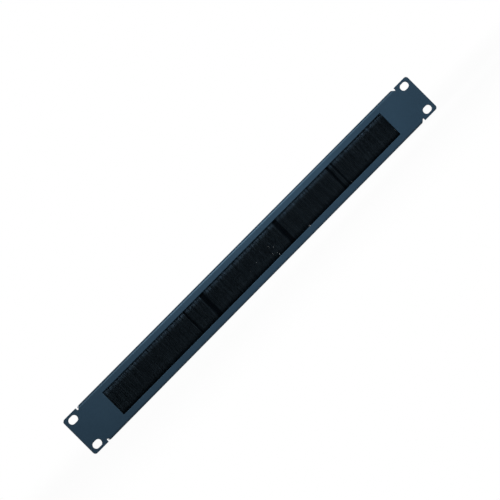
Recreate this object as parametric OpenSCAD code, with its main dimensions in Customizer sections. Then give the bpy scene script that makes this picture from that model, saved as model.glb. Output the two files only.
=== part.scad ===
// Rack brush strip panel, one rack unit high, for a 19-inch rack.
//
// A folded steel front panel has a long cable opening. A strip brush hangs behind the opening: its
// bristles are doubled over a core wire and crimped into a sheet channel, and their tips reach past
// the opening's lower edge. A clamp rail with cranked ends holds the channel against the panel, on
// four studs that are welded to the panel's back.
//
// X runs along the panel, Z is up and the front faces -Y. The origin is on the face that bears on
// the rack's rails, the back of the ears, midway between the four rack slots. Millimetres.

/* [Front panel] */
// Width over the rack ears
panel_w = 482.6; // [478:0.1:500]
// Height of the panel, which is one rack unit less its clearance
panel_h = 44; // [43:0.05:60]
// Thickness of the folded sheet
sheet_t = 1.5; // [1:0.1:2]
// Inner radius of the two long bends
bend_r = 1; // [0.5:0.1:2]
// Depth of the flanges behind the back of the ears
flange_d = 10.5; // [9.5:0.5:20]
// Cut at 45 degrees off each rear corner of the flanges
flange_corner = 3; // [1:0.5:6]
// Radius of the ears' outer corners
ear_corner_r = 3; // [1:0.5:6]

/* [Rack slots] */
// Distance from a slot's centre to the panel's end
slot_edge = 8.75; // [7.5:0.05:10]
// Distance between the slots' centres up the panel
slot_pitch_z = 31.75; // [30:0.05:33]
// Length of a slot
slot_l = 10; // [8:0.5:12]
// Height of a slot
slot_h = 7; // [6:0.5:8]

/* [Bend reliefs] */
// Width of the flat ear outside each relief
ear_w = 18; // [16:0.5:19]
// Radius at the bottom of a relief
relief_r = 0.8; // [0.5:0.1:1.2]
// Distance that a relief runs past the bend
relief_past_bend = 0.2; // [0:0.1:1]
// Slope of a relief on the flange's side, in degrees
relief_slope = 45; // [35:5:70]

/* [Cable opening] */
// Plain face between each end of the panel and the opening
end_face_w = 46.3; // [45:0.1:90]
// Radius of the opening's corners
opening_corner_r = 0.5; // [0.2:0.1:2]

/* [Strip brush] */
// Distance that the brush runs past each end of the opening
brush_overlap = 2; // [1:0.5:3]
// Distance from the opening's upper edge up to the channel's mouth
mouth_setback = 0.5; // [0.2:0.1:2]
// Depth of the channel, front to back
channel_d = 4.8; // [4.4:0.1:6]
// Height of the channel
channel_h = 5; // [4.6:0.1:7]
// Thickness of the channel's sheet
channel_t = 0.6; // [0.4:0.05:0.7]
// Outer radius of the channel's two bends
channel_bend_r = 1.2; // [0.9:0.1:1.6]
// Height of the lips that are crimped onto the bristles
crimp_h = 1.6; // [1:0.1:2]
// Gap between the crimped lips
mouth_gap = 2.8; // [2:0.1:3]
// Clearance over the channel, under the upper flange
channel_headroom = 0.5; // [0.2:0.1:1.5]
// Diameter of the core wire
wire_d = 1.2; // [0.8:0.05:1.4]
// Length of core wire that shows past each end of the channel
wire_end = 0.4; // [0:0.1:0.6]

/* [Bristles] */
// Number of tufts along the brush
tuft_count = 112; // [60:1:120]
// Distance that the tips reach past the opening's lower edge
tip_reach = 2; // [1:0.5:4]
// Depth of the curtain where it spreads under the channel
spread_d = 3.8; // [3:0.1:4.2]
// Distance under the channel's mouth at which it is widest
spread_drop = 5; // [2:0.5:6]
// Depth of the curtain at the tips
tip_d = 2.4; // [1.5:0.1:3]
// Width of a tuft's tip, as a share of the tufts' pitch
tip_share = 1.1; // [0.8:0.05:1.3]
// Most that a tip stands away from its place in the row
unevenness = 0.3; // [0:0.05:0.6]
// Most that a tuft is longer or shorter than the others
uneven_cut = 0.6; // [0:0.1:1]
// Most that a tuft is fuller or thinner than the others, as a share of its depth
uneven_fullness = 0.08; // [0:0.01:0.1]
// Places along the panel where the curtain parts
partings = [-59, 42, 65, 118]; // [-180:1:180]
// How far the tips stand apart at each parting
parting_widths = [0.5, 0.5, 0.8, 0.5]; // [0:0.1:1.5]
// First and last place of the stretch that is combed askew
askew_stretch = [-30, 52]; // [-180:1:180]
// Distance that the tips lean there
askew_lean = 3; // [0:0.5:4]
// Length of panel over which the lean comes on at either end
askew_ease = 16; // [10:1:30]

/* [Clamp rail] */
// Thickness of the rail's sheet
rail_t = 1.2; // [0.8:0.1:1.5]
// Inner radius of the rail's bend
rail_bend_r = 0.6; // [0.4:0.1:1]
// Distance from the lip's free edge to that of the flange
lip_inset = 1.2; // [0.5:0.1:2]
// Clearance between the lip and the flange
lip_gap = 0.2; // [0.1:0.1:0.5]
// Height of the end tabs
tab_h = 9; // [8.5:0.5:11]
// Radius of the tabs' outer corners
tab_corner_r = 2; // [1:0.5:3]
// Clearance between the brush and the cranked stretch
crank_gap = 0.6; // [0.6:0.1:1]
// Distance from a stud's axis to the tab's crank and to its end
stud_edge = 4.6; // [4:0.1:5]

/* [Fasteners] */
// Distance between the two studs in a tab
stud_pitch = 8; // [7.5:0.5:9]
// Diameter of the weld studs
stud_d = 3; // [2.5:0.1:3]
// Length of a stud from the panel's back
stud_l = 8; // [6:0.5:9]
// Diameter of the welded collar
collar_d = 4.5; // [4:0.1:4.8]
// Thickness of the welded collar
collar_t = 0.7; // [0.4:0.1:0.8]
// Clearance all round the collar in the tab's hole
collar_gap = 0.25; // [0.1:0.05:0.4]
// Clearance between a stud and the nut or spring washer on it
stud_gap = 0.05; // [0.02:0.01:0.1]
// Clearance between a stud and the plain washer on it
washer_gap = 0.1; // [0.05:0.01:0.2]
// Outer diameter of the plain washers
washer_d = 7; // [6.5:0.1:7.4]
// Thickness of the plain washers
washer_t = 0.5; // [0.4:0.1:0.8]
// Outer diameter of the spring washers
spring_washer_d = 5.9; // [5.2:0.1:6.4]
// Thickness of the spring washers
spring_washer_t = 0.8; // [0.6:0.1:1]
// Width of the split in a spring washer
split_w = 0.5; // [0.3:0.1:0.8]
// Slant of the split, in degrees
split_slant = 30; // [15:5:40]
// Width of a nut across its flats
nut_af = 5.5; // [5:0.1:6]
// Height of a nut
nut_h = 2.4; // [1.8:0.1:2.6]
// Diameter of a nut's flat faces, inside the chamfer
nut_face_d = 5.2; // [4.8:0.1:5.4]

/* [Hidden] */

$fn = 48;
past = 1; // a cut runs this far past what it cuts
bite = 0.3; // joined shapes share this much
bristle_fit = 0.05; // clearance between the bristles and the metal that they fill
tuft_slice = 0.05; // height of the slices that a tuft is stretched over
root_share = 1.35; // width of a tuft where it leaves the channel, as a share of the pitch

panel_colour = "#2b3d4f";
brush_colour = "#14181d";
zinc_colour = "#a9adb0";

bend_outer_r = bend_r + sheet_t;
half_w = panel_w / 2;
half_h = panel_h / 2;
slot_x = half_w - slot_edge;
relief_x = half_w - ear_w;
fold_end = relief_x - relief_r; // the folds stop at the middle of the reliefs
relief_z = half_h - bend_outer_r - relief_past_bend + relief_r;
relief_mouth = relief_r * (1 + sin(relief_slope))
    + (half_h - relief_z + relief_r * cos(relief_slope)) / tan(relief_slope);

// The margin over the opening is what it takes to hide the channel behind it.
headroom = channel_headroom + max(0, bend_r - channel_bend_r);
mouth_z = half_h - sheet_t - headroom - channel_h;
opening_top = mouth_z - mouth_setback;
opening_h = 2 * opening_top;

opening_w = panel_w - 2 * end_face_w;

brush_l = opening_w + 2 * brush_overlap;
brush_y = channel_d / 2;
wire_z = mouth_z + channel_h - channel_t - (channel_d - 2 * channel_t) / 2;
tip_z = -opening_top - tip_reach;
tuft_pitch = brush_l / tuft_count;

rail_outer_r = rail_bend_r + rail_t;
rail_top = half_h - sheet_t - lip_gap;
lip_end = flange_d - lip_inset;
tab_top = rail_top - rail_outer_r;
tab_bottom = tab_top - tab_h;
crank_from = brush_l / 2 + crank_gap;
crank_to = crank_from + channel_d;
tab_end = crank_to + 2 * stud_edge + stud_pitch;
stud_z = tab_top - tab_h / 2;

// The four studs, counted from the left as seen from the front
stud_x = let (inner = crank_to + stud_edge, outer = inner + stud_pitch)
    [-outer, -inner, inner, outer];
nut_turn = [8, 47, 21, 36]; // where each nut came to rest when it was tightened
split_turn = [24, 141, 63, 108]; // where the split of each spring washer came to rest

washer_y = rail_t;
spring_washer_y = washer_y + washer_t;
nut_y = spring_washer_y + spring_washer_t;

// --- Helpers ---------------------------------------------------------------------------------

// Stands a front view up, drawn in X and Z, from y0 back over a depth
module stand(y0, depth) {
    translate([0, y0 + depth, 0])
        rotate([90, 0, 0])
            linear_extrude(depth)
                children();
}

// Runs a cross-section, drawn in Y and Z, along X
module run_along(length) {
    rotate([90, 0, 90])
        linear_extrude(length, center = true)
            children();
}

// Turns something built along Z to point back along Y, from y0 at stud n
module on_stud(n, y0) {
    translate([stud_x[n - 1], y0, stud_z])
        rotate([-90, 0, 0])
            children();
}

module mirrored(axis) {
    children();
    mirror(axis)
        children();
}

module rounded_rectangle(size, r) {
    square([size.x - 2 * r, size.y], center = true);
    square([size.x, size.y - 2 * r], center = true);
    for (x = [-1, 1], y = [-1, 1])
        translate([x * (size.x / 2 - r), y * (size.y / 2 - r)])
            circle(r);
}

// An upright bar whose upper corners are round and whose foot narrows: a channel's outside or inside
module channel_shape(half, foot_half, h, r) {
    polygon([
        [-foot_half, 0], [foot_half, 0], [half, crimp_h],
        [half, h - r], [-half, h - r], [-half, crimp_h]]);
    translate([r - half, h - r - bite])
        square([2 * (half - r), r + bite]);
    for (side = [-1, 1])
        translate([side * (half - r), h - r])
            circle(r);
}

// --- Front panel -----------------------------------------------------------------------------

// The C section of the middle of the panel: face, two bends and two flanges
module folded_section() {
    difference() {
        translate([(flange_d - sheet_t) / 2, 0])
            rounded_left([flange_d + sheet_t, panel_h], bend_outer_r);
        translate([(flange_d + past) / 2, 0])
            rounded_left([flange_d + past, panel_h - 2 * sheet_t], bend_r);
    }
}

// A rectangle with only its left corners round
module rounded_left(size, r) {
    translate([r / 2, 0])
        square([size.x - r, size.y], center = true);
    square([size.x, size.y - 2 * r], center = true);
    for (z = [-1, 1])
        translate([r - size.x / 2, z * (size.y / 2 - r)])
            circle(r);
}

module rack_slot() {
    straight = slot_l - slot_h;
    square([straight, slot_h], center = true);
    for (side = [-1, 1])
        translate([side * straight / 2, 0])
            circle(slot_h / 2);
}

// The upper right relief: straight up beside the ear, sloped on the flange's side
module bend_relief() {
    tangent = [
        relief_x - relief_r * (1 + sin(relief_slope)),
        relief_z - relief_r * cos(relief_slope)];
    rise = half_h + past - tangent.y;
    translate([relief_x - relief_r, relief_z])
        circle(relief_r);
    polygon([
        [relief_x, relief_z],
        [relief_x, half_h + past],
        [tangent.x - rise / tan(relief_slope), half_h + past],
        tangent,
        [relief_x - relief_r, relief_z]]);
}

// Cuts the rear right corner off both flanges
module flange_corner_cut() {
    flange_end = relief_x - relief_mouth;
    linear_extrude(panel_h + 2 * past, center = true)
        polygon([
            [flange_end - flange_corner, flange_d],
            [flange_end, flange_d - flange_corner],
            [relief_x + past, flange_d - flange_corner],
            [relief_x + past, flange_d + past],
            [flange_end - flange_corner, flange_d + past]]);
}

module front_panel() {
    color(panel_colour)
        difference() {
            union() {
                stand(-sheet_t, sheet_t) {
                    square([2 * (fold_end + bite), panel_h - 2 * bend_outer_r], center = true);
                    intersection() {
                        rounded_rectangle([panel_w, panel_h], ear_corner_r);
                        mirrored([1, 0])
                            translate([fold_end, -half_h])
                                square([half_w - fold_end, panel_h]);
                    }
                }
                run_along(2 * fold_end)
                    folded_section();
            }
            stand(-sheet_t - past, flange_d + sheet_t + 2 * past) {
                rounded_rectangle([opening_w, opening_h], opening_corner_r);
                for (x = [-1, 1], z = [-1, 1])
                    translate([x * slot_x, z * slot_pitch_z / 2])
                        rack_slot();
                mirrored([1, 0])
                    mirrored([0, 1])
                        bend_relief();
            }
            mirrored([1, 0, 0])
                flange_corner_cut();
        }
}

// --- Strip brush -----------------------------------------------------------------------------

module in_channel() {
    translate([brush_y, mouth_z])
        children();
}

module brush_channel() {
    inside = channel_d / 2 - channel_t;
    color(zinc_colour)
        run_along(brush_l)
            in_channel()
                difference() {
                    channel_shape(channel_d / 2, mouth_gap / 2 + channel_t, channel_h, channel_bend_r);
                    channel_shape(inside, mouth_gap / 2, channel_h - channel_t,
                        channel_bend_r - channel_t);
                    translate([-mouth_gap / 2, -past])
                        square([mouth_gap, past + bite]);
                }
}

module core_wire() {
    color(zinc_colour)
        translate([0, brush_y, wire_z])
            rotate([0, 90, 0])
                cylinder(d = wire_d, h = brush_l + 2 * wire_end, center = true);
}

// --- Bristles --------------------------------------------------------------------------------

// How each tuft is uneven. Each row of chance numbers has its own seed, so every build is the same.
tuft_lean = rands(-unevenness, unevenness, tuft_count, 11);
tuft_cut = rands(-uneven_cut, uneven_cut, tuft_count, 23);
tuft_fullness = rands(1 - uneven_fullness, 1 + uneven_fullness, tuft_count, 37);

function tuft_x(i) = (i + 0.5) * tuft_pitch - brush_l / 2;

// How far the partings push the tips at x aside, fading over the next tufts
function parting_push(x) =
    let (sides = [for (p = partings) (x < p ? -1 : 1) * exp(-abs(x - p) / tuft_pitch)])
    sides * parting_widths / 2;

// How far the tips at x lean where the curtain is combed askew
function askew(x) =
    let (inside = min(x - askew_stretch[0], askew_stretch[1] - x))
    -askew_lean * max(0, min(1, inside / askew_ease));

// A six-sided slice of a tuft, pointed towards its neighbours
module slice(x, z, w, d) {
    translate([x, brush_y, z])
        scale([w, d / sin(60), tuft_slice])
            cylinder(d = 1, h = 1, $fn = 6);
}

module tuft(i) {
    root_x = tuft_x(i);
    root_w = root_share * tuft_pitch;
    lean = askew(root_x) + parting_push(root_x) + tuft_lean[i];
    lean_at_spread = lean * spread_drop / (mouth_z - tip_z);
    hull() {
        slice(root_x, mouth_z, root_w, mouth_gap - 2 * bristle_fit);
        slice(root_x + lean_at_spread, mouth_z - spread_drop, root_w, spread_d * tuft_fullness[i]);
        slice(root_x + lean, tip_z + tuft_cut[i], tip_share * tuft_pitch, tip_d * tuft_fullness[i]);
    }
}

// The doubled bristles inside the channel, folded over the core wire
module bristle_root() {
    inside = channel_d / 2 - channel_t - bristle_fit;
    run_along(brush_l)
        in_channel()
            difference() {
                channel_shape(inside, mouth_gap / 2 - bristle_fit, channel_h - channel_t - bristle_fit,
                    channel_bend_r - channel_t);
                translate([0, wire_z - mouth_z])
                    circle(wire_d / 2 + bristle_fit);
            }
}

module bristles() {
    color(brush_colour) {
        bristle_root();
        intersection() {
            for (i = [0:tuft_count - 1])
                tuft(i);
            translate([0, brush_y, 0])
                cube([brush_l, channel_d, panel_h], center = true);
        }
    }
}

// --- Clamp rail ------------------------------------------------------------------------------

// A rectangle between two corners, with its upper left corner round
module round_shoulder(from, to, r) {
    translate([from.x + r, from.y])
        square([to.x - from.x - r, to.y - from.y]);
    translate(from)
        square([to.x - from.x, to.y - from.y - r]);
    translate([from.x + r, to.y - r])
        circle(r);
}

// The L section behind the brush: a web on the channel's back and a lip under the flange
module rail_section() {
    difference() {
        round_shoulder([channel_d, mouth_z], [lip_end, rail_top], rail_outer_r);
        round_shoulder([channel_d + rail_t, mouth_z - past], [lip_end + past, rail_top - rail_t],
            rail_bend_r);
    }
}

// The right end seen from above: the web is cranked forward to lie on the panel as a tab
module crank_plan() {
    mitre = rail_t * tan(45 / 2);
    polygon([
        [crank_from - bite, channel_d],
        [crank_from, channel_d],
        [crank_to, 0],
        [tab_end, 0],
        [tab_end, rail_t],
        [crank_to + mitre, rail_t],
        [crank_from + mitre, channel_d + rail_t],
        [crank_from - bite, channel_d + rail_t]]);
}

// The same end seen from the front, with the tab's corners round and the holes for the collars
module tab_front() {
    difference() {
        translate([tab_end / 2, stud_z])
            rounded_rectangle([tab_end, tab_h], tab_corner_r);
        for (x = [stud_x[2], stud_x[3]])
            translate([x, stud_z])
                circle(collar_d / 2 + collar_gap);
    }
}

module clamp_rail() {
    color(panel_colour) {
        run_along(2 * crank_from)
            rail_section();
        mirrored([1, 0, 0])
            intersection() {
                translate([0, 0, tab_bottom - past])
                    linear_extrude(tab_h + 2 * past)
                        crank_plan();
                stand(-past, channel_d + rail_t + 2 * past)
                    tab_front();
            }
    }
}

// --- Fasteners, one of each at every stud -----------------------------------------------------

module weld_stud(n) {
    tip = 0.4; // chamfer at the stud's end
    color(zinc_colour)
        on_stud(n, 0)
            rotate_extrude()
                polygon([
                    [0, 0],
                    [collar_d / 2, 0],
                    [collar_d / 2, collar_t],
                    [stud_d / 2, collar_t],
                    [stud_d / 2, stud_l - tip],
                    [stud_d / 2 - tip, stud_l],
                    [0, stud_l]]);
}

module ring(outer_d, inner_d, h) {
    difference() {
        cylinder(d = outer_d, h = h);
        translate([0, 0, -past])
            cylinder(d = inner_d, h = h + 2 * past);
    }
}

module plain_washer(n) {
    color(zinc_colour)
        on_stud(n, washer_y)
            ring(washer_d, stud_d + 2 * washer_gap, washer_t);
}

// Pressed flat, so that only its slanting split shows
module spring_washer(n) {
    color(zinc_colour)
        on_stud(n, spring_washer_y)
            rotate(split_turn[n - 1])
                difference() {
                    ring(spring_washer_d, stud_d + 2 * stud_gap, spring_washer_t);
                    translate([spring_washer_d / 2, 0, spring_washer_t / 2])
                        rotate([split_slant, 0, 0])
                            cube([spring_washer_d, split_w, 3 * spring_washer_t], center = true);
                }
}

module hex_nut(n) {
    corner_r = nut_af / 2 / cos(30);
    chamfer = (corner_r - nut_face_d / 2) * tan(30);
    color(zinc_colour)
        on_stud(n, nut_y)
            rotate(nut_turn[n - 1])
                difference() {
                    intersection() {
                        cylinder(r = corner_r, h = nut_h, $fn = 6);
                        rotate_extrude()
                            polygon([
                                [0, 0],
                                [nut_face_d / 2, 0],
                                [corner_r, chamfer],
                                [corner_r, nut_h - chamfer],
                                [nut_face_d / 2, nut_h],
                                [0, nut_h]]);
                    }
                    translate([0, 0, -past])
                        cylinder(d = stud_d + 2 * stud_gap, h = nut_h + 2 * past);
                }
}

front_panel();
brush_channel();
core_wire();
bristles();
clamp_rail();
for (n = [1:4]) {
    weld_stud(n);
    plain_washer(n);
    spring_washer(n);
    hex_nut(n);
}
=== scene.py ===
"""Dresses the rack brush strip panel: its coat, its bristles, its fixings and its studio."""

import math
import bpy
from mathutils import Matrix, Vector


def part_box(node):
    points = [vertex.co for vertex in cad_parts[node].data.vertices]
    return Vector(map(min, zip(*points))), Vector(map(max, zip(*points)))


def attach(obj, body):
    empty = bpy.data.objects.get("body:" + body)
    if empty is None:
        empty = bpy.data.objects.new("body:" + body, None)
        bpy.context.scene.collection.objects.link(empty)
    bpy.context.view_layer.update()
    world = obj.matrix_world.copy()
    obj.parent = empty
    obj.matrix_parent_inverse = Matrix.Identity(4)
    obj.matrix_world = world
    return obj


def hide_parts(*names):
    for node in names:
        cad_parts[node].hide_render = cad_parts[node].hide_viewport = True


bl_info = {
    "name": "Rack Brush Strip Panel",
    "version": (1, 0, 0),
    "blender": (4, 5, 0),
    "location": "View3D > Sidebar > Brush Panel",
    "description": "Coats the folded panel, combs the strip brush and plates the fixings",
    "category": "Object",
}

import bpy
import numpy as np
from mathutils import Matrix, Vector

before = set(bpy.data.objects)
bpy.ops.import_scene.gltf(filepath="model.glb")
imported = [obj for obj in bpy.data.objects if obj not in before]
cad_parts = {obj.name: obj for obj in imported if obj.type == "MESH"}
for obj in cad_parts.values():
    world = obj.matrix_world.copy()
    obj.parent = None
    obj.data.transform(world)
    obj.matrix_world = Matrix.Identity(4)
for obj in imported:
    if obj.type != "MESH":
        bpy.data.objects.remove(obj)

MM = 0.001
FIXINGS = range(1, 5)
BODY = "root"

PANEL_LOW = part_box("front_panel")[0]
CHANNEL_LOW, CHANNEL_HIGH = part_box("brush_channel")
BRUSH_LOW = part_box("bristles")[0]

WELD_GAP = 0.002 * MM  # points of the solids' meshes nearer than this are one point
FLAT_ANGLE = math.radians(0.2)  # faces that differ less than this are one flat face
SMOOTH_ANGLE = math.radians(50)  # edges that turn less than this are shaded smooth


# --- Settings --------------------------------------------------------------------------------


class CoatSettings(bpy.types.PropertyGroup):
    """The powder coat on the folded sheet pieces."""

    colour: bpy.props.FloatVectorProperty(
        name="Colour", description="Colour of the powder coat", subtype="COLOR", size=3,
        default=(0.014, 0.033, 0.056))
    sheen: bpy.props.FloatVectorProperty(
        name="Sheen", description="Tint of the light that the coat reflects", subtype="COLOR", size=3,
        default=(0.45, 0.75, 1.0))
    roughness: bpy.props.FloatProperty(
        name="Roughness", description="How dull the satin coat is", default=0.42, min=0.0, max=1.0)
    edge_radius: bpy.props.FloatProperty(
        name="Edge radius", description="Radius that the coat leaves along a cut edge",
        default=0.28 * MM, unit="LENGTH")
    peel_size: bpy.props.FloatProperty(
        name="Orange peel", description="Width of the coat's ripples", default=1.1 * MM, unit="LENGTH")


class BrushSettings(bpy.types.PropertyGroup):
    """The strip brush and the way that its bristles are combed."""

    strand_width: bpy.props.FloatProperty(
        name="Bristle width", description="Diameter of a bristle", default=0.28 * MM, unit="LENGTH")
    strands: bpy.props.IntProperty(
        name="Bristles", description="Number of bristles along the whole brush", default=8400)
    sections: bpy.props.IntProperty(
        name="Sections", description="Number of pieces that the bristles are grouped in", default=8)
    flare: bpy.props.FloatProperty(
        name="Flare", description="Half the depth of the curtain where it is widest",
        default=2.0 * MM, unit="LENGTH")
    flare_drop: bpy.props.FloatProperty(
        name="Flare drop", description="Distance under the channel at which it is widest",
        default=5.5 * MM, unit="LENGTH")
    tip_half: bpy.props.FloatProperty(
        name="Tip half depth", description="Half the depth of the curtain at its tips",
        default=1.1 * MM, unit="LENGTH")
    lean: bpy.props.FloatProperty(
        name="Lean", description="Distance that the tips lean in the stretch combed askew",
        default=4.0 * MM, unit="LENGTH")
    colour: bpy.props.FloatVectorProperty(
        name="Colour", description="Colour of the bristles", subtype="COLOR", size=3,
        default=(0.0012, 0.0022, 0.0034))
    sheen: bpy.props.FloatVectorProperty(
        name="Sheen", description="Tint of the light that the bristles reflect", subtype="COLOR", size=3,
        default=(0.55, 0.80, 1.0))


class FixingSettings(bpy.types.PropertyGroup):
    """The zinc plated fixings and the galvanised channel."""

    plate_colour: bpy.props.FloatVectorProperty(
        name="Zinc plate", description="Colour of the plated studs, nuts and washers", subtype="COLOR",
        size=3, default=(0.58, 0.60, 0.61))
    channel_colour: bpy.props.FloatVectorProperty(
        name="Galvanised sheet", description="Colour of the channel and the core wire", subtype="COLOR",
        size=3, default=(0.46, 0.48, 0.49))
    thread_pitch: bpy.props.FloatProperty(
        name="Thread pitch", description="Distance between two turns of the studs' thread",
        default=0.5 * MM, unit="LENGTH")
    edge_radius: bpy.props.FloatProperty(
        name="Edge radius", description="Radius of the fixings' edges", default=0.07 * MM, unit="LENGTH")


class StudioSettings(bpy.types.PropertyGroup):
    """The camera, the lamps and the floor."""

    camera_at: bpy.props.FloatVectorProperty(
        name="Camera", description="Place of the camera", subtype="TRANSLATION", size=3,
        default=(-0.7718, -2.7544, 0.0526))
    camera_aim: bpy.props.FloatVectorProperty(
        name="Aim", description="Point that the camera looks at", subtype="TRANSLATION", size=3,
        default=(0.0047, -0.0015, 0.0103))
    camera_roll: bpy.props.FloatProperty(
        name="Roll", description="Turn of the camera about its line of sight", subtype="ANGLE",
        default=math.radians(-45.01))
    lens: bpy.props.FloatProperty(
        name="Lens", description="Focal length in millimetres", default=216.0)
    strip_power: bpy.props.FloatProperty(
        name="Strip lamp", description="Power of the strip lamp close over the front", default=1.0,
        unit="POWER")
    key_power: bpy.props.FloatProperty(
        name="Key lamp", description="Power of the soft lamp over the front", default=9.0, unit="POWER")
    side_power: bpy.props.FloatProperty(
        name="Side lamp", description="Power of the soft lamp on the right", default=5.0, unit="POWER")
    back_power: bpy.props.FloatProperty(
        name="Back lamp", description="Power of the soft lamp behind the panel", default=24.0,
        unit="POWER")
    room_light: bpy.props.FloatProperty(
        name="Room light", description="Strength of the light from the rest of the room", default=0.10)


# --- Helpers for pieces ----------------------------------------------------------------------


def pick(piece):
    """Makes one object the only one that is selected, and the active one."""
    bpy.ops.object.select_all(action="DESELECT")
    piece.select_set(True)
    bpy.context.view_layer.objects.active = piece


def edit(piece):
    """Opens a piece in edit mode."""
    pick(piece)
    bpy.ops.object.mode_set(mode="EDIT")


def leave_edit():
    """Goes back to object mode."""
    bpy.ops.object.mode_set(mode="OBJECT")


def edit_faces(piece, wanted):
    """Opens a piece in edit mode with only the faces selected for which wanted(face) is true."""
    choose(piece, piece.data.polygons, wanted, (False, False, True))


def edit_edges(piece, wanted):
    """Opens a piece in edit mode with only the edges selected for which wanted(edge) is true."""
    choose(piece, piece.data.edges, wanted, (False, True, False))


def choose(piece, elements, wanted, select_mode):
    """Opens a piece in edit mode, in a select mode, with only the wanted elements selected."""
    pick(piece)
    bpy.context.tool_settings.mesh_select_mode = select_mode
    for group in (piece.data.vertices, piece.data.edges, piece.data.polygons):
        group.foreach_set("select", [False] * len(group))
    for element in elements:
        element.select = wanted(element)
    bpy.ops.object.mode_set(mode="EDIT")


def apply_modifier(piece, kind, name, **values):
    """Adds a modifier, sets it up and applies it."""
    pick(piece)
    modifier = piece.modifiers.new(name, kind)
    for key, value in values.items():
        setattr(modifier, key, value)
    bpy.ops.object.modifier_apply(modifier=modifier.name)


def settle(piece):
    """Puts a primitive's place and turn into its mesh."""
    pick(piece)
    bpy.ops.object.transform_apply(location=True, rotation=True, scale=True)


def hand_over(piece, name, material, slot, *nodes):
    """Names a finished piece, gives it its finish and lets it stand for its CAD nodes."""
    piece.name = name
    piece.data.name = name
    piece.data.materials.clear()
    piece.data.materials.append(material)
    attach(piece, BODY)
    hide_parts(*nodes)


def edged_copy(node, radius, segments=3, sharp=math.radians(40)):
    """A copy of a CAD node whose sharp edges are rounded, with those edges marked for the materials."""
    piece = bpy.data.objects.new(node + "_edged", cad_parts[node].data.copy())
    bpy.context.scene.collection.objects.link(piece)
    edit(piece)
    bpy.ops.mesh.select_all(action="SELECT")
    bpy.ops.mesh.remove_doubles(threshold=WELD_GAP)
    bpy.ops.mesh.dissolve_limited(angle_limit=FLAT_ANGLE)
    leave_edit()
    while len(piece.data.materials) < 2:
        piece.data.materials.append(None)
    piece.data.polygons.foreach_set("material_index", [0] * len(piece.data.polygons))
    apply_modifier(
        piece, "BEVEL", "Edge", width=radius, segments=segments, limit_method="ANGLE",
        angle_limit=sharp, use_clamp_overlap=False, material=1)
    on_edge = np.zeros(len(piece.data.polygons), np.int32)
    piece.data.polygons.foreach_get("material_index", on_edge)
    mark = piece.data.attributes.new("edge", "FLOAT", "FACE")
    mark.data.foreach_set("value", on_edge.astype(np.float32))
    piece.data.polygons.foreach_set("material_index", [0] * len(piece.data.polygons))
    pick(piece)
    bpy.ops.object.shade_smooth_by_angle(angle=SMOOTH_ANGLE)
    apply_modifier(piece, "WEIGHTED_NORMAL", "Flat faces", weight=100, keep_sharp=True)
    return piece


# --- Node groups and materials ---------------------------------------------------------------

PARTINGS = ((-59.5, 3.4), (42.5, 3.2), (118.0, 1.8), (-84.0, 1.2), (124.0, 1.2))  # place and width, mm
PARTING_DARK = 0.6  # share of a parting's width, each way from its middle, that is dark
PARTING_CLEAR = 1.1  # share of a parting's width, each way from its middle, at which it ends
TUFTS_PER_METRE = 330.0
ROOT_HIGHLIGHT_FADE = (0.24, 0.42)  # shares of the bristles' length between which the painted highlight on the roots fades
ROOT_HIGHLIGHT_TIMES = 22.0  # how much lighter the painted highlight makes a root's colour than the rest of a bristle


def new_group(name, inputs, outputs):
    """An empty shader node group with named sockets."""
    group = bpy.data.node_groups.new(name, "ShaderNodeTree")
    for label, kind, default in inputs:
        socket = group.interface.new_socket(label, in_out="INPUT", socket_type=kind)
        socket.default_value = default
    for label, kind in outputs:
        group.interface.new_socket(label, in_out="OUTPUT", socket_type=kind)
    return group, group.nodes.new("NodeGroupInput"), group.nodes.new("NodeGroupOutput")


def node(tree, kind, inputs=None, **values):
    """Adds a node to a tree, with its settings and the values or links of its inputs."""
    made = tree.nodes.new(kind)
    for key, value in values.items():
        setattr(made, key, value)
    for key, value in (inputs or {}).items():
        if isinstance(value, bpy.types.NodeSocket):
            tree.links.new(value, made.inputs[key])
        else:
            made.inputs[key].default_value = value
    return made


def maths(tree, operation, *values):
    """One sum, product or other operation on numbers."""
    return node(
        tree, "ShaderNodeMath", dict(enumerate(values)), operation=operation).outputs[0]


def map_range(tree, value, low, high, to_low, to_high):
    """Stretches a value from one range to another, and keeps it inside that."""
    return node(tree, "ShaderNodeMapRange", {
        "Value": value, "From Min": low, "From Max": high, "To Min": to_low, "To Max": to_high,
    }).outputs["Result"]


def fine_grain_group():
    """Ripples and specks at two sizes: a height for a bump and a tone about one half."""
    group, given, out = new_group(
        "Fine Grain",
        [("Vector", "NodeSocketVector", (0.0, 0.0, 0.0)), ("Ripple", "NodeSocketFloat", 900.0),
         ("Speck", "NodeSocketFloat", 6000.0), ("Speck Share", "NodeSocketFloat", 0.3)],
        [("Height", "NodeSocketFloat"), ("Tone", "NodeSocketFloat")])
    ripple = node(group, "ShaderNodeTexNoise", {
        "Vector": given.outputs["Vector"], "Scale": given.outputs["Ripple"], "Detail": 2.0,
        "Roughness": 0.4})
    speck = node(group, "ShaderNodeTexNoise", {
        "Vector": given.outputs["Vector"], "Scale": given.outputs["Speck"], "Detail": 1.0})
    height = node(group, "ShaderNodeMix", {
        "Factor": given.outputs["Speck Share"], "A": ripple.outputs["Fac"],
        "B": speck.outputs["Fac"]}, data_type="FLOAT")
    cloud = node(group, "ShaderNodeTexNoise", {
        "Vector": given.outputs["Vector"], "Scale": 28.0, "Detail": 3.0})
    group.links.new(height.outputs["Result"], out.inputs["Height"])
    group.links.new(cloud.outputs["Fac"], out.inputs["Tone"])
    return group


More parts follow.
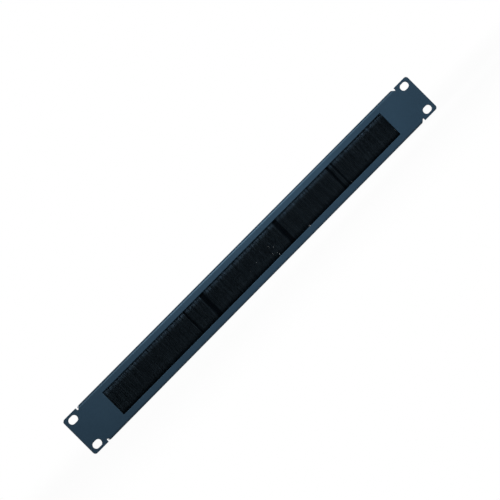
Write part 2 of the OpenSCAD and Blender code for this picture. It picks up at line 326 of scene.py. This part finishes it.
def edge_wear_group():
    """How far the finish is thinned along the marked edges, broken up so that it comes and goes."""
    group, given, out = new_group(
        "Edge Wear",
        [("Vector", "NodeSocketVector", (0.0, 0.0, 0.0)), ("Patch", "NodeSocketFloat", 60.0),
         ("Amount", "NodeSocketFloat", 0.5)],
        [("Mask", "NodeSocketFloat")])
    edge = node(group, "ShaderNodeAttribute", attribute_name="edge")
    patch = node(group, "ShaderNodeTexNoise", {
        "Vector": given.outputs["Vector"], "Scale": given.outputs["Patch"], "Detail": 3.0})
    broken = map_range(group, patch.outputs["Fac"], 0.42, 0.62, 0.0, 1.0)
    on_edge = maths(group, "MULTIPLY", edge.outputs["Fac"], broken)
    mask = maths(group, "MULTIPLY", on_edge, given.outputs["Amount"])
    group.links.new(mask, out.inputs["Mask"])
    return group


def handled_group():
    """A faint film from handling: a mask of soft streaks and clouds, for roughness and colour."""
    group, given, out = new_group(
        "Handled",
        [("Vector", "NodeSocketVector", (0.0, 0.0, 0.0)), ("Size", "NodeSocketFloat", 18.0)],
        [("Mask", "NodeSocketFloat")])
    cloud = node(group, "ShaderNodeTexNoise", {
        "Vector": given.outputs["Vector"], "Scale": given.outputs["Size"], "Detail": 5.0,
        "Roughness": 0.6, "Distortion": 0.6})
    group.links.new(map_range(group, cloud.outputs["Fac"], 0.4, 0.7, 0.0, 1.0), out.inputs["Mask"])
    return group


def new_material(name):
    """A material with nothing but its output and one Principled BSDF."""
    material = bpy.data.materials.new(name)
    material.use_nodes = True
    tree = material.node_tree
    tree.nodes.clear()
    shader = tree.nodes.new("ShaderNodeBsdfPrincipled")
    output = tree.nodes.new("ShaderNodeOutputMaterial")
    tree.links.new(shader.outputs["BSDF"], output.inputs["Surface"])
    return material, tree, shader


def placed(tree):
    """Object coordinates, which are metres in the panel's own frame."""
    return tree.nodes.new("ShaderNodeTexCoord").outputs["Object"]


def grouped(tree, group, **inputs):
    """Places a node group in a material with its own values."""
    made = tree.nodes.new("ShaderNodeGroup")
    made.node_tree = group
    for label, value in inputs.items():
        socket = made.inputs[label.replace("_", " ")]
        if isinstance(value, bpy.types.NodeSocket):
            tree.links.new(value, socket)
        else:
            socket.default_value = value
    return made


def mixed_colour(tree, factor, first, second):
    """The first colour where the factor is 0, the second where it is 1."""
    return node(tree, "ShaderNodeMix", {6: first, 7: second, 0: factor}, data_type="RGBA").outputs[2]


def shade(colour, share):
    """A colour made lighter or darker, with full opacity."""
    return tuple(min(1.0, value * share) for value in colour) + (1.0,)


def powder_coat(coat, groups):
    """Satin powder coat: faint orange peel, soft clouds of tone, a little thinner on the edges."""
    material, tree, shader = new_material("satin_powder_coat")
    place = placed(tree)
    grain = grouped(
        tree, groups["grain"], Vector=place, Ripple=1.0 / coat.peel_size, Speck=7000.0, Speck_Share=0.35)
    wear = grouped(tree, groups["wear"], Vector=place, Patch=55.0, Amount=0.5)
    film = grouped(tree, groups["handled"], Vector=place, Size=14.0)
    tone = map_range(tree, grain.outputs["Tone"], 0.3, 0.7, 0.0, 1.0)
    body = mixed_colour(tree, tone, shade(coat.colour, 0.93), shade(coat.colour, 1.07))
    worn = mixed_colour(tree, wear.outputs["Mask"], body, shade(coat.colour, 1.9))
    tree.links.new(worn, shader.inputs["Base Color"])
    tree.links.new(
        map_range(tree, film.outputs["Mask"], 0.0, 1.0, coat.roughness - 0.03, coat.roughness + 0.04),
        shader.inputs["Roughness"])
    bump = node(tree, "ShaderNodeBump", {
        "Height": grain.outputs["Height"], "Strength": 0.25, "Distance": 0.00006})
    tree.links.new(bump.outputs["Normal"], shader.inputs["Normal"])
    shader.inputs["Specular Tint"].default_value = shade(coat.sheen, 1.0)
    shader.inputs["IOR"].default_value = 1.5
    return material


def outside_partings(tree, along):
    """A mask along the brush: 0 in the dark partings between tufts, 1 elsewhere."""
    mask = 1.0
    for at, width in PARTINGS:
        away = maths(tree, "ABSOLUTE", maths(tree, "SUBTRACT", along, at * MM))
        clear = map_range(
            tree, away, PARTING_DARK * width * MM, PARTING_CLEAR * width * MM, 0.0, 1.0)
        mask = maths(tree, "MULTIPLY", mask, clear)
    return mask


def nylon(brush):
    """Black nylon bristles of uneven tone and gloss, with a painted highlight on the tufts at the roots
    and dark partings.
    """
    material, tree, shader = new_material("nylon_bristle")
    strand = node(tree, "ShaderNodeAttribute", attribute_name="strand").outputs["Fac"]
    drop = node(tree, "ShaderNodeAttribute", attribute_name="drop").outputs["Fac"]
    along = node(tree, "ShaderNodeSeparateXYZ", {"Vector": placed(tree)}).outputs["X"]
    across = node(tree, "ShaderNodeCombineXYZ", {"X": along}).outputs["Vector"]
    tuft = node(tree, "ShaderNodeTexNoise", {
        "Vector": across, "Scale": TUFTS_PER_METRE, "Detail": 2.0}).outputs["Fac"]
    clear = outside_partings(tree, along)
    # Painted highlight: near the roots the tufts' base colour is made many times lighter, in place of
    # the light that the flaring roots catch. The partings keep the plain colour and get less gloss, so
    # they stay dark.
    tuft_highlight = map_range(tree, tuft, 0.36, 0.66, 0.15, 1.0)
    root = map_range(tree, drop, *ROOT_HIGHLIGHT_FADE, 1.0, 0.0)
    painted_highlight = maths(tree, "MULTIPLY", maths(tree, "MULTIPLY", tuft_highlight, root), clear)
    plain = mixed_colour(tree, strand, shade(brush.colour, 0.6), shade(brush.colour, 1.5))
    tree.links.new(
        mixed_colour(tree, painted_highlight, plain, shade(brush.colour, ROOT_HIGHLIGHT_TIMES)),
        shader.inputs["Base Color"])
    gloss = maths(
        tree, "MULTIPLY", map_range(tree, painted_highlight, 0.0, 1.0, 0.38, 0.9),
        map_range(tree, clear, 0.0, 1.0, 0.12, 1.0))
    tree.links.new(gloss, shader.inputs["Specular IOR Level"])
    dull = map_range(tree, strand, 0.0, 1.0, 0.30, 0.46)
    duller_tip = map_range(tree, drop, 0.7, 1.0, 0.0, 0.2)
    tree.links.new(maths(tree, "ADD", dull, duller_tip), shader.inputs["Roughness"])
    shader.inputs["Specular Tint"].default_value = shade(brush.sheen, 1.0)
    shader.inputs["IOR"].default_value = 1.53
    return material


def zinc_plate(fixings, groups):
    """Bright zinc plate with a slight cloudiness and fine tool marks."""
    material, tree, shader = new_material("bright_zinc_plate")
    place = placed(tree)
    grain = grouped(
        tree, groups["grain"], Vector=place, Ripple=2500.0, Speck=14000.0, Speck_Share=0.5)
    film = grouped(tree, groups["handled"], Vector=place, Size=240.0)
    wear = grouped(tree, groups["wear"], Vector=place, Patch=900.0, Amount=0.6)
    clouded = mixed_colour(
        tree, film.outputs["Mask"], shade(fixings.plate_colour, 1.0), shade(fixings.plate_colour, 0.78))
    tree.links.new(
        mixed_colour(tree, wear.outputs["Mask"], clouded, shade(fixings.plate_colour, 1.3)),
        shader.inputs["Base Color"])
    tree.links.new(
        map_range(tree, film.outputs["Mask"], 0.0, 1.0, 0.26, 0.42), shader.inputs["Roughness"])
    bump = node(tree, "ShaderNodeBump", {
        "Height": grain.outputs["Height"], "Strength": 0.3, "Distance": 0.00003})
    tree.links.new(bump.outputs["Normal"], shader.inputs["Normal"])
    shader.inputs["Metallic"].default_value = 1.0
    return material


def galvanised(fixings, groups):
    """Galvanised sheet: flat crystals of zinc, each of its own tone and gloss."""
    material, tree, shader = new_material("galvanised_sheet")
    place = placed(tree)
    warp = node(tree, "ShaderNodeTexNoise", {"Vector": place, "Scale": 260.0, "Detail": 2.0})
    bent = node(
        tree, "ShaderNodeMix", {"Factor": 0.006, 4: place, 5: warp.outputs["Color"]},
        data_type="VECTOR")
    crystal = node(
        tree, "ShaderNodeTexVoronoi", {"Vector": bent.outputs[1], "Scale": 260.0, "Randomness": 1.0})
    one = node(tree, "ShaderNodeSeparateColor", {"Color": crystal.outputs["Color"]}).outputs["Red"]
    grain = grouped(
        tree, groups["grain"], Vector=place, Ripple=1500.0, Speck=9000.0, Speck_Share=0.4)
    wear = grouped(tree, groups["wear"], Vector=place, Patch=300.0, Amount=0.5)
    body = mixed_colour(
        tree, one, shade(fixings.channel_colour, 0.72), shade(fixings.channel_colour, 1.12))
    tree.links.new(
        mixed_colour(tree, wear.outputs["Mask"], body, shade(fixings.channel_colour, 1.4)),
        shader.inputs["Base Color"])
    tree.links.new(map_range(tree, one, 0.0, 1.0, 0.48, 0.34), shader.inputs["Roughness"])
    bump = node(tree, "ShaderNodeBump", {
        "Height": grain.outputs["Height"], "Strength": 0.2, "Distance": 0.00004})
    tree.links.new(bump.outputs["Normal"], shader.inputs["Normal"])
    shader.inputs["Metallic"].default_value = 1.0
    return material


def finish_of(name):
    """One of the four finishes, made the first time that a piece asks for it."""
    if name not in bpy.data.materials:
        scene = bpy.context.scene
        groups = {
            "grain": bpy.data.node_groups.get("Fine Grain") or fine_grain_group(),
            "wear": bpy.data.node_groups.get("Edge Wear") or edge_wear_group(),
            "handled": bpy.data.node_groups.get("Handled") or handled_group()}
        if name == "satin_powder_coat":
            powder_coat(scene.brushpanel_coat, groups)
        elif name == "nylon_bristle":
            nylon(scene.brushpanel_brush)
        elif name == "bright_zinc_plate":
            zinc_plate(scene.brushpanel_fixings, groups)
        else:
            galvanised(scene.brushpanel_fixings, groups)
    return bpy.data.materials[name]


# --- Bristles --------------------------------------------------------------------------------

# All of these are in millimetres, places along the brush count from the panel's middle.
RING_DROPS = (-0.8, 1.0, 3.0, 6.0, 11.0, 17.0, 24.0, 31.5)  # under the channel's mouth
TUFT_WIDTHS = (2.4, 4.4)
LEAST_LAST_TUFT = 1.5
ROOT_HALF_DEPTH = 1.28  # half the depth of the curtain between the channel's lips
MOST_HALF_DEPTH = 2.25
TIP_CLEARANCE = 0.3  # from the longest bristle to the end of the solid curtain
ASKEW = (-27.0, 40.0)  # the stretch whose tips are combed to one side
ASKEW_EASE = 10.0
SLIT = 65.3  # where the tips stand apart
SLIT_WIDTH = 1.6
SLIT_PUSH = 0.95
WAVE_LENGTH = 9.0  # drop in which a bristle's own wave turns by one radian
GOLDEN_SHARE = 0.6180339887


def smooth_step(low, high, value):
    """0 below low, 1 above high, and an even S between them."""
    share = np.clip((value - low) / (high - low), 0.0, 1.0)
    return share * share * (3.0 - 2.0 * share)


def tuft_edges(chance, length):
    """Places at which one tuft ends and the next begins."""
    least, most = TUFT_WIDTHS
    edges = np.cumsum(chance.uniform(least, most, int(length / least) + 2))
    kept = edges[edges < length - LEAST_LAST_TUFT]
    return np.concatenate([[0.0], kept, [length]]) - length / 2


def part_tufts(x, y, along, front, down):
    """Pushes the front bristles away from each parting and back, so that it shows as a dark gap."""
    for at, width in PARTINGS:
        away = along - at
        near = (np.exp(-(away / width) ** 2) * front)[:, None]
        x += np.sign(away)[:, None] * near * width * 0.35 * smooth_step(-0.8, 9.0, down)
        y += near * smooth_step(-0.8, 3.0, down) * 2.0


def open_slit(x, along, down):
    """Parts all the tips at the one place that can be seen through."""
    away = along - SLIT
    near = np.exp(-(away / SLIT_WIDTH) ** 2)[:, None]
    x += np.sign(away)[:, None] * near * SLIT_PUSH * smooth_step(22.0, 31.5, down)


def curtain_half_depth(brush, tuft_flare, down):
    """Half the depth of the curtain at each ring: it widens under the channel and closes to its tips."""
    flare_drop = brush.flare_drop / MM
    widest = brush.flare / MM * tuft_flare[:, None]
    half = ROOT_HALF_DEPTH + (widest - ROOT_HALF_DEPTH) * smooth_step(0.0, flare_drop, down)
    half += (brush.tip_half / MM - half) * smooth_step(flare_drop, RING_DROPS[-1], down)
    return half


def strand_courses(brush, chance):
    """The rings' centres of every bristle, in millimetres, its place along the brush and its girth."""
    count = brush.strands
    length = (CHANNEL_HIGH.x - CHANNEL_LOW.x) / MM - 2 * brush.strand_width / MM
    middle = (CHANNEL_LOW.y + CHANNEL_HIGH.y) / 2 / MM
    mouth = CHANNEL_LOW.z / MM
    longest = mouth - BRUSH_LOW.z / MM
    drops = np.array(RING_DROPS)

    along = (np.arange(count) + chance.uniform(-0.5, 1.5, count)) / count * length - length / 2
    along = np.clip(along, -length / 2, length / 2)
    edges = tuft_edges(chance, length)
    tuft = np.clip(np.searchsorted(edges, along) - 1, 0, len(edges) - 2)
    centre = (edges[tuft] + edges[tuft + 1]) / 2
    tufts = len(edges) - 1
    tuft_flare = chance.uniform(0.78, 1.12, tufts)[tuft]
    tuft_lean = chance.normal(0.0, 0.35, tufts)[tuft]
    tuft_cut = chance.uniform(-0.5, 0.5, tufts)[tuft]

    depth = (np.arange(count) * GOLDEN_SHARE % 1.0) * 2.0 - 1.0
    front = smooth_step(0.25, 0.75, -depth)
    inner = 1.0 - smooth_step(0.25, 0.45, np.abs(depth))
    own_lean = chance.normal(0.0, 0.30, count) * (1.0 - 0.6 * inner)
    own_length = chance.uniform(-0.5, 0.2, count)
    wave = chance.uniform(0.0, 2 * math.pi, (2, count))
    wave_size = np.abs(chance.normal(0.0, 0.12, (2, count)))

    down = drops[None, :] * np.ones((count, 1))
    down[:, -1] = np.minimum(
        longest - TIP_CLEARANCE, drops[-1] + tuft_cut + own_length - TIP_CLEARANCE)
    share = np.clip(down / drops[-1], 0.0, 1.0)
    y = depth[:, None] * curtain_half_depth(brush, tuft_flare, down)

    bunching = 0.25 * front[:, None] * np.exp(-np.maximum(down, 0.0) / 6.0)
    x = along[:, None] + (centre - along)[:, None] * bunching
    x += (tuft_lean * front + own_lean)[:, None] * share ** 1.4
    askew = smooth_step(0.0, ASKEW_EASE, np.minimum(along - ASKEW[0], ASKEW[1] - along))
    x -= (askew * (brush.lean / MM) * chance.uniform(0.4, 1.4, count))[:, None] * share ** 1.6
    wave_size *= (1.0 + 4.0 * askew)[None, :]
    part_tufts(x, y, along, front, down)
    open_slit(x, along, down)

    phase = down / WAVE_LENGTH
    growth = smooth_step(1.0, 8.0, down)
    x += wave_size[0][:, None] * np.sin(phase + wave[0][:, None]) * growth
    y += wave_size[1][:, None] * np.sin(1.3 * phase + wave[1][:, None]) * growth

    y = np.clip(y, -MOST_HALF_DEPTH, MOST_HALF_DEPTH) + middle
    x = np.clip(x, -length / 2, length / 2)
    girth = 1.0 + 0.9 * inner
    return np.stack([x, y, mouth - down], axis=2), along, girth


def model_strand(width, rings):
    """One straight bristle with a ring of three points at each height, from 0 at its root to 1."""
    bpy.ops.object.select_all(action="DESELECT")
    bpy.ops.mesh.primitive_cylinder_add(
        vertices=3, radius=width / 2, depth=1.0, location=(0, 0, 0.5), end_fill_type="NGON")
    strand = bpy.context.object
    settle(strand)
    heights = [vertex.co.z for vertex in strand.data.vertices]
    edit_edges(strand, lambda side: heights[side.vertices[0]] != heights[side.vertices[1]])
    bpy.ops.mesh.subdivide(number_cuts=rings - 2)
    leave_edit()
    return strand


def comb(piece, courses, girth, chance):
    """Moves the rings of a row of straight bristles onto their courses, and marks each bristle."""
    count, rings, _ = courses.shape
    points = np.zeros(len(piece.data.vertices) * 3, np.float32)
    piece.data.vertices.foreach_get("co", points)
    points = points.reshape(count, rings * 3, 3)
    ring = np.rint(points[0, :, 2] * (rings - 1)).astype(int)
    around = points[0][None, :, :2] * girth[:, None, None]
    turn = chance.uniform(0.0, 2 * math.pi, count)
    cosine, sine = np.cos(turn)[:, None], np.sin(turn)[:, None]
    combed = courses[:, ring, :] * MM
    combed[..., 0] += around[..., 0] * cosine - around[..., 1] * sine
    combed[..., 1] += around[..., 0] * sine + around[..., 1] * cosine
    piece.data.vertices.foreach_set("co", combed.astype(np.float32).ravel())
    tone = np.repeat(chance.uniform(0.0, 1.0, count), rings * 3)
    piece.data.attributes.new("strand", "FLOAT", "POINT").data.foreach_set(
        "value", tone.astype(np.float32))
    drop = np.tile(ring / (rings - 1), count)
    piece.data.attributes.new("drop", "FLOAT", "POINT").data.foreach_set(
        "value", drop.astype(np.float32))
    piece.data.update()


# --- Operators -------------------------------------------------------------------------------

RAIL_EDGE_SHARE = 0.7  # the thinner rail's edge radius, as a share of the front panel's
BRUSH_CHANCE = 41
COLLAR_T = 0.7 * MM
STUD_R = 1.5 * MM
THREAD_DEPTH_SHARE = 0.6  # the thread's depth, as a share of its pitch
THREAD_WELD_GAP = 0.0005 * MM

class BRUSHPANEL_OT_studio(bpy.types.Operator):
    """Sets up the camera, the pale floor, the white room and the soft lamps"""

    bl_idname = "brushpanel.studio"
    bl_label = "Studio"

    def execute(self, context):
        studio = context.scene.brushpanel_studio
        self.set_camera(context, studio)
        self.lay_floor()
        self.light_room(context, studio)
        for name, place, size, power in (
                ("strip_lamp", (0.07, -0.27, 0.21), (0.36, 0.07), studio.strip_power),
                ("key_lamp", (0.46, -1.36, 0.92), (1.0, 0.55), studio.key_power),
                ("side_lamp", (1.75, -0.85, 0.35), (0.8, 0.8), studio.side_power),
                ("back_lamp", (-0.5, 1.5, 1.0), (1.0, 0.7), studio.back_power)):
            self.hang_lamp(context, name, place, size, power)
        context.scene.view_settings.view_transform = "Standard"
        return {"FINISHED"}

    def set_camera(self, context, studio):
        """Points the camera at the panel and rolls it about its line of sight."""
        lens = bpy.data.cameras.new("camera")
        lens.lens = studio.lens
        lens.sensor_width = 36.0
        lens.clip_start, lens.clip_end = 0.05, 50.0
        camera = bpy.data.objects.new("camera", lens)
        context.scene.collection.objects.link(camera)
        sight = Vector(studio.camera_aim) - Vector(studio.camera_at)
        upright = sight.to_track_quat("-Z", "Y").to_matrix()
        turned = upright @ Matrix.Rotation(studio.camera_roll, 3, "Z")
        camera.matrix_world = Matrix.Translation(studio.camera_at) @ turned.to_4x4()
        context.scene.camera = camera

    def lay_floor(self):
        """Lays a wide floor under the panel."""
        bpy.ops.object.select_all(action="DESELECT")
        bpy.ops.mesh.primitive_plane_add(size=16.0, location=(0, 0, PANEL_LOW.z))
        floor = bpy.context.object
        floor.name = "floor"
        floor.data.materials.append(self.mix_floor_paint())

    def mix_floor_paint(self):
        """Pale paint that shades the panel's shadow, and shows as near white to the camera."""
        material = bpy.data.materials.new("floor_paint")
        material.use_nodes = True
        tree = material.node_tree
        tree.nodes.clear()
        paint = node(tree, "ShaderNodeBsdfDiffuse", {"Color": (0.45, 0.45, 0.45, 1.0)})
        white = node(tree, "ShaderNodeEmission", {"Color": (1.0, 1.0, 1.0, 1.0), "Strength": 1.0})
        ray = tree.nodes.new("ShaderNodeLightPath").outputs
        glossy = maths(tree, "MULTIPLY", ray["Is Glossy Ray"], 0.3)
        seen = maths(tree, "MAXIMUM", ray["Is Camera Ray"], glossy)
        seen = maths(tree, "MAXIMUM", seen, ray["Is Transmission Ray"])
        away = node(tree, "ShaderNodeVectorMath", {0: placed(tree)}, operation="LENGTH")
        far = map_range(tree, away.outputs["Value"], 0.3, 1.2, 0.96, 1.0)
        mix = node(tree, "ShaderNodeMixShader", {
            0: maths(tree, "MULTIPLY", seen, far), 1: paint.outputs[0], 2: white.outputs[0]})
        output = tree.nodes.new("ShaderNodeOutputMaterial")
        tree.links.new(mix.outputs[0], output.inputs["Surface"])
        return material

    def light_room(self, context, studio):
        """Surrounds the panel with dim light, which the camera sees as white."""
        world = bpy.data.worlds.new("white_room")
        world.use_nodes = True
        tree = world.node_tree
        tree.nodes.clear()
        dim = node(tree, "ShaderNodeBackground", {
            "Color": (0.86, 0.93, 1.0, 1.0), "Strength": studio.room_light})
        white = node(tree, "ShaderNodeBackground", {"Color": (1.0, 1.0, 1.0, 1.0), "Strength": 1.0})
        ray = tree.nodes.new("ShaderNodeLightPath")
        mix = node(tree, "ShaderNodeMixShader", {
            0: ray.outputs["Is Camera Ray"], 1: dim.outputs[0], 2: white.outputs[0]})
        output = tree.nodes.new("ShaderNodeOutputWorld")
        tree.links.new(mix.outputs[0], output.inputs["Surface"])
        context.scene.world = world

    def hang_lamp(self, context, name, place, size, power):
        """Hangs a soft lamp that faces the panel's middle."""
        lamp = bpy.data.lights.new(name, "AREA")
        lamp.shape = "RECTANGLE"
        lamp.size, lamp.size_y = size
        lamp.energy = power
        hung = bpy.data.objects.new(name, lamp)
        context.scene.collection.objects.link(hung)
        hung.location = place
        hung.rotation_mode = "QUATERNION"
        hung.rotation_quaternion = (-Vector(place)).to_track_quat("-Z", "Y")
        hung.visible_camera = False


class BRUSHPANEL_OT_front_panel(bpy.types.Operator):
    """Rounds the cut edges of the folded front panel and coats it"""

    bl_idname = "brushpanel.front_panel"
    bl_label = "Front panel"

    def execute(self, context):
        coat = context.scene.brushpanel_coat
        panel = edged_copy("front_panel", coat.edge_radius)
        hand_over(
            panel, "coated_front_panel", finish_of("satin_powder_coat"), "powder_coat", "front_panel")
        return {"FINISHED"}


class BRUSHPANEL_OT_clamp_rail(bpy.types.Operator):
    """Rounds the cut edges of the clamp rail and coats it"""

    bl_idname = "brushpanel.clamp_rail"
    bl_label = "Clamp rail"

    def execute(self, context):
        coat = context.scene.brushpanel_coat
        rail = edged_copy("clamp_rail", RAIL_EDGE_SHARE * coat.edge_radius)
        hand_over(
            rail, "coated_clamp_rail", finish_of("satin_powder_coat"), "powder_coat", "clamp_rail")
        return {"FINISHED"}


class BRUSHPANEL_OT_channel(bpy.types.Operator):
    """Finishes the brush's crimped channel and its core wire"""

    bl_idname = "brushpanel.channel"
    bl_label = "Channel and core wire"

    def execute(self, context):
        fixings = context.scene.brushpanel_fixings
        sheet = finish_of("galvanised_sheet")
        channel = edged_copy("brush_channel", fixings.edge_radius, segments=2)
        hand_over(channel, "crimped_channel", sheet, "galvanised", "brush_channel")
        wire = edged_copy("core_wire", fixings.edge_radius, segments=2)
        hand_over(wire, "folded_over_wire", sheet, "galvanised", "core_wire")
        return {"FINISHED"}


class BRUSHPANEL_OT_bristles(bpy.types.Operator):
    """Models one bristle, repeats it along the brush and combs the rows"""

    bl_idname = "brushpanel.bristles"
    bl_label = "Bristles"

    def execute(self, context):
        brush = context.scene.brushpanel_brush
        chance = np.random.default_rng(BRUSH_CHANCE)
        courses, along, girth = strand_courses(brush, chance)
        rings = courses.shape[1]
        strand = model_strand(brush.strand_width, rings)
        half = (CHANNEL_HIGH.x - CHANNEL_LOW.x) / 2 / MM
        section = ((along + half) / (2 * half) * brush.sections).astype(int)
        section = np.clip(section, 0, brush.sections - 1)
        for number in range(brush.sections):
            own = section == number
            row = strand.copy()
            row.data = strand.data.copy()
            context.scene.collection.objects.link(row)
            apply_modifier(
                row, "ARRAY", "Row", count=int(own.sum()), use_relative_offset=False,
                use_constant_offset=True, constant_offset_displace=(MM, 0.0, 0.0))
            comb(row, courses[own], girth[own], chance)
            pick(row)
            bpy.ops.object.shade_smooth()
            hand_over(
                row, f"bristle_row_{number + 1}", finish_of("nylon_bristle"), "nylon", "bristles")
        bpy.data.objects.remove(strand)
        return {"FINISHED"}


class BRUSHPANEL_OT_studs(bpy.types.Operator):
    """Cuts a thread on one weld stud and copies it to the four places"""

    bl_idname = "brushpanel.studs"
    bl_label = "Weld studs"

    def execute(self, context):
        fixings = context.scene.brushpanel_fixings
        low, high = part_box("weld_stud_1")
        collar_r = (high.x - low.x) / 2
        stud = self.turn_stud(high.y - low.y, collar_r, fixings.thread_pitch)
        for number in FIXINGS:
            low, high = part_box(f"weld_stud_{number}")
            copy = stud.copy()
            copy.data = stud.data.copy()
            context.scene.collection.objects.link(copy)
            copy.location = ((low.x + high.x) / 2, low.y, (low.z + high.z) / 2)
            settle(copy)
            hand_over(
                copy, f"threaded_stud_{number}", finish_of("bright_zinc_plate"), "zinc_plate",
                f"weld_stud_{number}")
        bpy.data.objects.remove(stud)
        return {"FINISHED"}

    def turn_stud(self, length, collar_r, pitch):
        """A stud that points back along Y from the origin: collar, core, point and thread."""
        depth = THREAD_DEPTH_SHARE * pitch
        core_r = STUD_R - depth
        bpy.ops.object.select_all(action="DESELECT")
        bpy.ops.mesh.primitive_cylinder_add(
            vertices=32, radius=collar_r, depth=COLLAR_T, location=(0, 0, COLLAR_T / 2),
            end_fill_type="NGON")
        stud = bpy.context.object
        settle(stud)
        edit_faces(stud, lambda face: face.normal.z > 0.9)
        bpy.ops.mesh.inset(thickness=collar_r - core_r)
        bpy.ops.mesh.extrude_region_move(
            TRANSFORM_OT_translate={"value": (0, 0, length - COLLAR_T - depth)})
        bpy.ops.mesh.extrude_region_move(TRANSFORM_OT_translate={"value": (0, 0, depth)})
        bpy.ops.transform.resize(value=(0.75, 0.75, 1.0), center_override=(0, 0, length))
        leave_edit()
        turns = math.floor((length - COLLAR_T - depth) / pitch) - 1
        thread = self.turn_thread(core_r, COLLAR_T + 0.6 * pitch, pitch, turns)
        bpy.ops.object.select_all(action="DESELECT")
        thread.select_set(True)
        stud.select_set(True)
        bpy.context.view_layer.objects.active = stud
        bpy.ops.object.join()
        stud.rotation_euler = (-math.pi / 2, 0, 0)
        settle(stud)
        bpy.ops.object.shade_smooth_by_angle(angle=math.radians(35))
        return stud

    def turn_thread(self, core_r, height, pitch, turns):
        """A thread along Z: a section with two corners at its root and one at its crest, screwed up."""
        bpy.ops.mesh.primitive_circle_add(vertices=3, radius=pitch, fill_type="NOTHING")
        thread = bpy.context.object
        root_r = core_r - 0.05 * pitch
        half = 0.46 * pitch
        corners = ((root_r, height - half), (STUD_R, height), (root_r, height + half))
        for vertex, (radius, z) in zip(thread.data.vertices, corners):
            vertex.co = (radius, 0.0, z)
        apply_modifier(
            thread, "SCREW", "Thread", axis="Z", angle=2 * math.pi, screw_offset=pitch,
            iterations=turns, steps=28, render_steps=28, use_smooth_shade=True)
        edit(thread)
        bpy.ops.mesh.select_all(action="SELECT")
        bpy.ops.mesh.remove_doubles(threshold=THREAD_WELD_GAP)
        bpy.ops.mesh.fill_holes(sides=4)
        bpy.ops.mesh.select_all(action="SELECT")
        bpy.ops.mesh.normals_make_consistent(inside=False)
        leave_edit()
        return thread


class BRUSHPANEL_OT_nuts(bpy.types.Operator):
    """Rounds the edges of the nuts and washers and plates them"""

    bl_idname = "brushpanel.nuts"
    bl_label = "Nuts and washers"

    def execute(self, context):
        radius = context.scene.brushpanel_fixings.edge_radius
        plate = finish_of("bright_zinc_plate")
        kinds = (("hex_nut", "chamfered_nut"), ("plain_washer", "flat_washer"),
                 ("spring_washer", "split_washer"))
        for kind, finished in kinds:
            for number in FIXINGS:
                piece = edged_copy(f"{kind}_{number}", radius, segments=2, sharp=math.radians(25))
                hand_over(piece, f"{finished}_{number}", plate, "zinc_plate", f"{kind}_{number}")
        return {"FINISHED"}


class BRUSHPANEL_PT_sidebar(bpy.types.Panel):
    """Lists the steps and the sizes in the 3D view's sidebar"""

    bl_label = "Brush Panel"
    bl_idname = "BRUSHPANEL_PT_sidebar"
    bl_space_type = "VIEW_3D"
    bl_region_type = "UI"
    bl_category = "Brush Panel"

    def draw(self, context):
        for operator in OPERATORS:
            self.layout.operator(operator.bl_idname)
        for name in SETTINGS:
            box = self.layout.box()
            settings = getattr(context.scene, name)
            for key in settings.__annotations__:
                box.prop(settings, key)


SETTINGS = {
    "brushpanel_coat": CoatSettings,
    "brushpanel_brush": BrushSettings,
    "brushpanel_fixings": FixingSettings,
    "brushpanel_studio": StudioSettings,
}
OPERATORS = (
    BRUSHPANEL_OT_studio,
    BRUSHPANEL_OT_front_panel,
    BRUSHPANEL_OT_clamp_rail,
    BRUSHPANEL_OT_channel,
    BRUSHPANEL_OT_bristles,
    BRUSHPANEL_OT_studs,
    BRUSHPANEL_OT_nuts,
)


def register():
    for settings in SETTINGS.values():
        bpy.utils.register_class(settings)
    for name, settings in SETTINGS.items():
        setattr(bpy.types.Scene, name, bpy.props.PointerProperty(type=settings))
    for operator in OPERATORS:
        bpy.utils.register_class(operator)
    bpy.utils.register_class(BRUSHPANEL_PT_sidebar)


def unregister():
    bpy.utils.unregister_class(BRUSHPANEL_PT_sidebar)
    for operator in reversed(OPERATORS):
        bpy.utils.unregister_class(operator)
    for name, settings in SETTINGS.items():
        delattr(bpy.types.Scene, name)
        bpy.utils.unregister_class(settings)


def main():
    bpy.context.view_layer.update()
    register()
    bpy.ops.brushpanel.studio()
    bpy.ops.brushpanel.front_panel()
    bpy.ops.brushpanel.clamp_rail()
    bpy.ops.brushpanel.channel()
    bpy.ops.brushpanel.bristles()
    bpy.ops.brushpanel.studs()
    bpy.ops.brushpanel.nuts()


if __name__ == "__main__":
    main()
